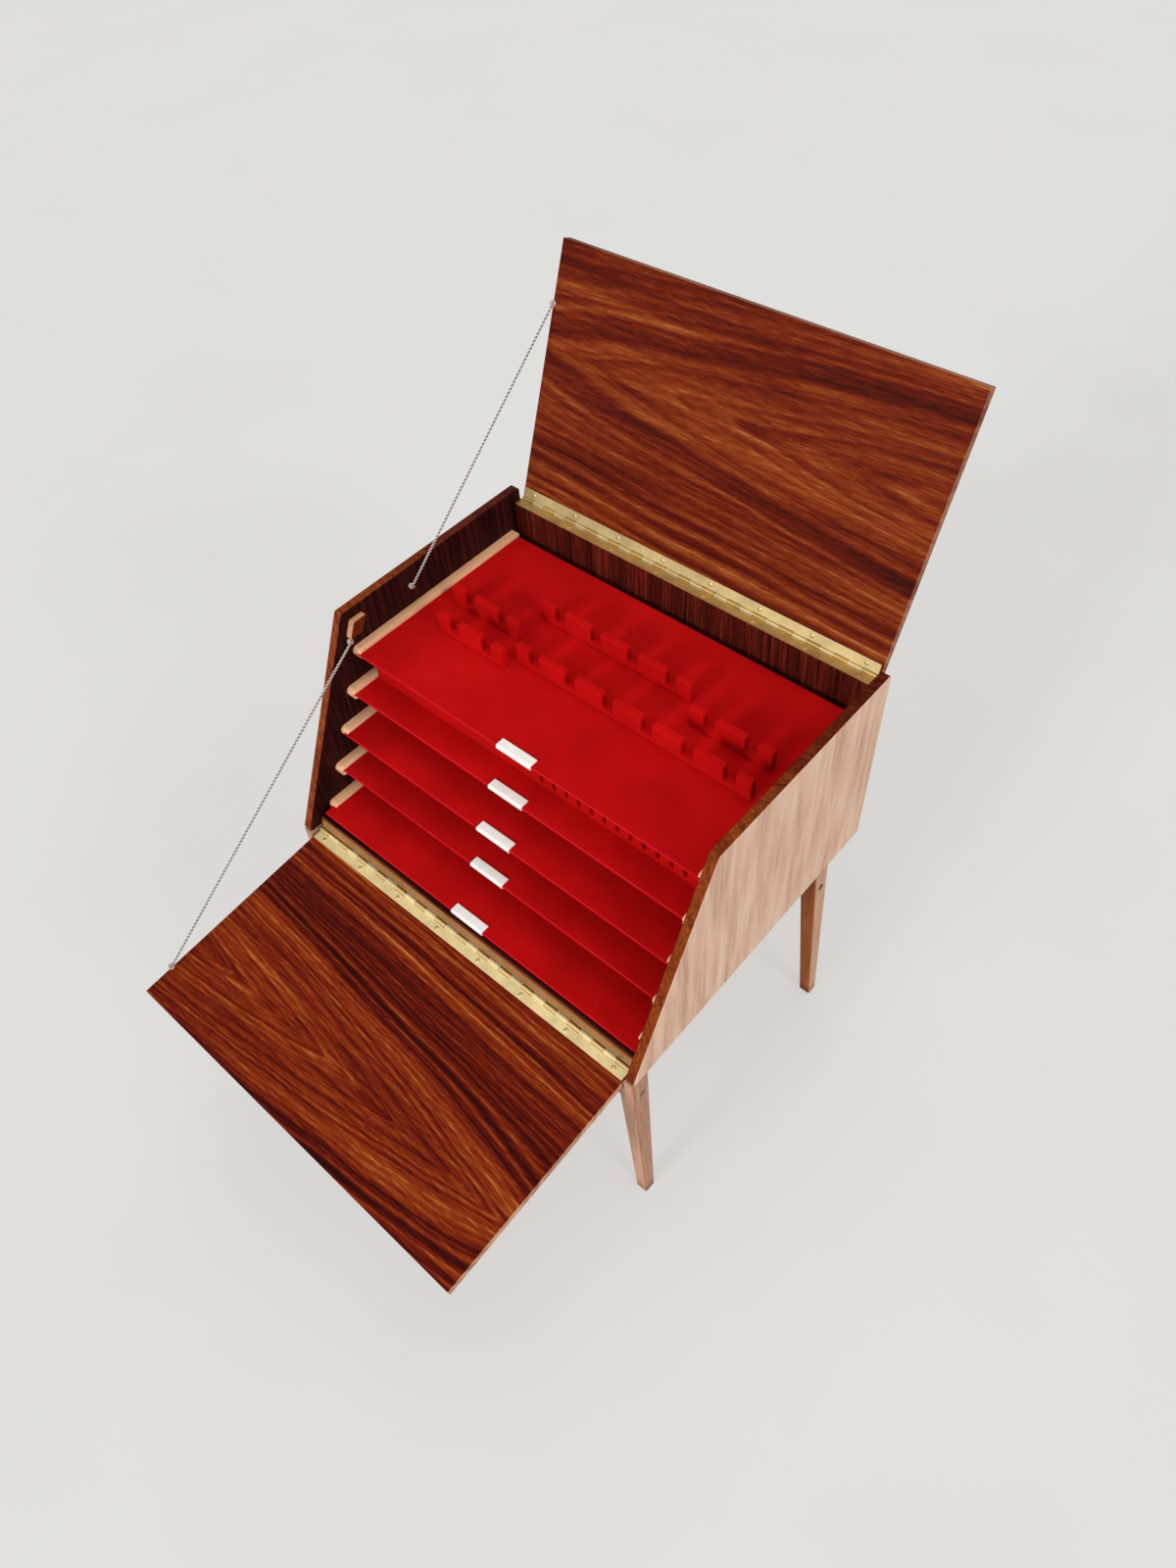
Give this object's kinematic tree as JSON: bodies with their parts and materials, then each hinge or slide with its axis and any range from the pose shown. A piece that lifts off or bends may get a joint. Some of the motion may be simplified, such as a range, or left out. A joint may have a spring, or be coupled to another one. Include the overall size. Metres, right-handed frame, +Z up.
{
  "type": "cutlery cabinet",
  "caption": "Free-standing wooden cutlery cabinet on splayed legs, with a hinged lid, a drop-down front flap and sliding flocked trays that hold cutlery in notched combs.",
  "frame": {"origin": "on the floor, under the middle of the open cabinet's outline", "axes": "+X to the cabinet's right, +Y to its back, +Z up"},
  "size_m": [0.525, 0.751, 0.7595],
  "materials": {
    "case_veneer": "satin lacquer",
    "dark_veneer": "satin lacquer",
    "leg_wood": "satin lacquer",
    "runner_wood": "plain, unfinished",
    "hinge_brass": "polished",
    "red_flock": "matte flock",
    "white_plastic": "smooth",
    "cord": "twisted",
    "steel": "plain"
  },
  "bodies": {
    "carcass": {"side_panel_left": "case_veneer", "side_panel_right": "case_veneer", "back_panel": "case_veneer", "bottom_panel": "case_veneer", "side_rail_left": "leg_wood", "side_rail_right": "leg_wood", "front_leg_left": "leg_wood", "front_leg_right": "leg_wood", "rear_leg_left": "leg_wood", "rear_leg_right": "leg_wood", "leg_screws": "steel", "stop_block_left": "leg_wood", "lid_hinge_fixed_leaf": "hinge_brass", "lid_hinge_fixed_screws": "hinge_brass", "lid_hinge_pin": "steel", "flap_hinge_fixed_leaf": "hinge_brass", "flap_hinge_fixed_screws": "hinge_brass", "flap_hinge_pin": "steel", "cord_posts": "steel", "lid_cord": "cord", "flap_cord": "cord", "runner_left_1": "runner_wood", "runner_left_2": "runner_wood", "runner_left_3": "runner_wood", "runner_left_4": "runner_wood", "runner_left_5": "runner_wood", "runner_right_1": "runner_wood", "runner_right_2": "runner_wood", "runner_right_3": "runner_wood", "runner_right_4": "runner_wood", "runner_right_5": "runner_wood"},
    "lid": {"lid_panel": "dark_veneer", "lid_hinge_moving_leaf": "hinge_brass", "lid_hinge_moving_screws": "hinge_brass", "lid_cord_post": "steel"},
    "flap": {"flap_panel": "dark_veneer", "flap_hinge_moving_leaf": "hinge_brass", "flap_hinge_moving_screws": "hinge_brass", "flap_cord_post": "steel"},
    "tray_1": {"tray_1_board": "red_flock", "tray_1_pull": "white_plastic", "tray_1_combs": "red_flock"},
    "tray_2": {"tray_2_board": "red_flock", "tray_2_pull": "white_plastic", "tray_2_combs": "red_flock"},
    "tray_3": {"tray_3_board": "red_flock", "tray_3_pull": "white_plastic", "tray_3_combs": "red_flock"},
    "tray_4": {"tray_4_board": "red_flock", "tray_4_pull": "white_plastic", "tray_4_combs": "red_flock"},
    "tray_5": {"tray_5_board": "red_flock", "tray_5_pull": "white_plastic"}
  },
  "joints": [
    {"name": "lid_hinge", "type": "hinge", "parent": "carcass", "child": "lid", "pos_m": [0, 0.26416, 0.503], "axis": [-1, 0, 0], "range_deg": [-111.1, 0], "deforming": ["lid_cord"]},
    {"name": "flap_hinge", "type": "hinge", "parent": "carcass", "child": "flap", "pos_m": [0, -0.11898, 0.26461], "axis": [1, 0, 0], "range_deg": [-122.15, 0], "deforming": ["flap_cord"]},
    {"name": "tray_1_slide", "type": "slide", "parent": "carcass", "child": "tray_1", "axis": [0, -1, 0], "range_m": [-0.006, 0.147]},
    {"name": "tray_2_slide", "type": "slide", "parent": "carcass", "child": "tray_2", "axis": [0, -1, 0], "range_m": [-0.0033, 0.172]},
    {"name": "tray_3_slide", "type": "slide", "parent": "carcass", "child": "tray_3", "axis": [0, -1, 0], "range_m": [-0.0066, 0.191]},
    {"name": "tray_4_slide", "type": "slide", "parent": "carcass", "child": "tray_4", "axis": [0, -1, 0], "range_m": [-0.002, 0.218]},
    {"name": "tray_5_slide", "type": "slide", "parent": "carcass", "child": "tray_5", "axis": [0, -1, 0], "range_m": [-0.018, 0.224]}
  ]
}
